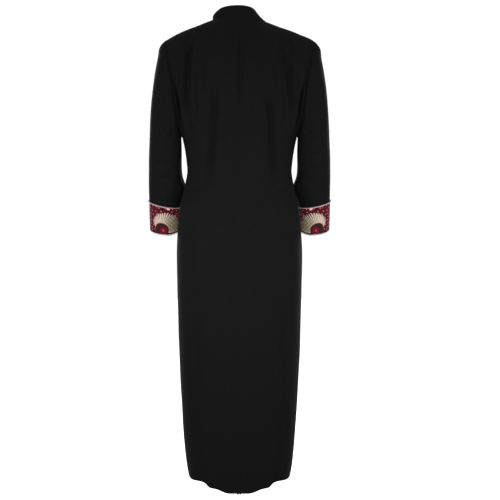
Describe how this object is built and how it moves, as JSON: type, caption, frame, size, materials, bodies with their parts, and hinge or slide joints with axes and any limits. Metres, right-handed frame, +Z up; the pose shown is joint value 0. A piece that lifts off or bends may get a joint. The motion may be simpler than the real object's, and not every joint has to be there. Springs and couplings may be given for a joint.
{
  "type": "abaya",
  "caption": "Long black robe with set-in sleeves, deep patterned brocade cuffs edged in piping, a low stand collar and a curved hem, standing open as worn.",
  "frame": {"origin": "midway between the two points where the shoulder seams meet the neck, where the robe is held", "axes": "+Z up, -Y towards the wearer's front, +X to the wearer's left"},
  "size_m": [0.529, 0.251, 1.353],
  "materials": {
    "black_cloth": "matt black crepe with a faint sheen",
    "brocade": "dark red woven brocade with cream and brown figures",
    "piping": "pale satin cord"
  },
  "bodies": {
    "root": {"back_left": "black_cloth", "back_right": "black_cloth", "front_left": "black_cloth", "front_right": "black_cloth", "sleeve_left": "black_cloth", "sleeve_right": "black_cloth", "collar": "black_cloth", "cuff_left": "brocade", "cuff_right": "brocade", "cuff_piping_top_left": "piping", "cuff_piping_top_right": "piping", "cuff_piping_bottom_left": "piping", "cuff_piping_bottom_right": "piping"}
  },
  "joints": []
}
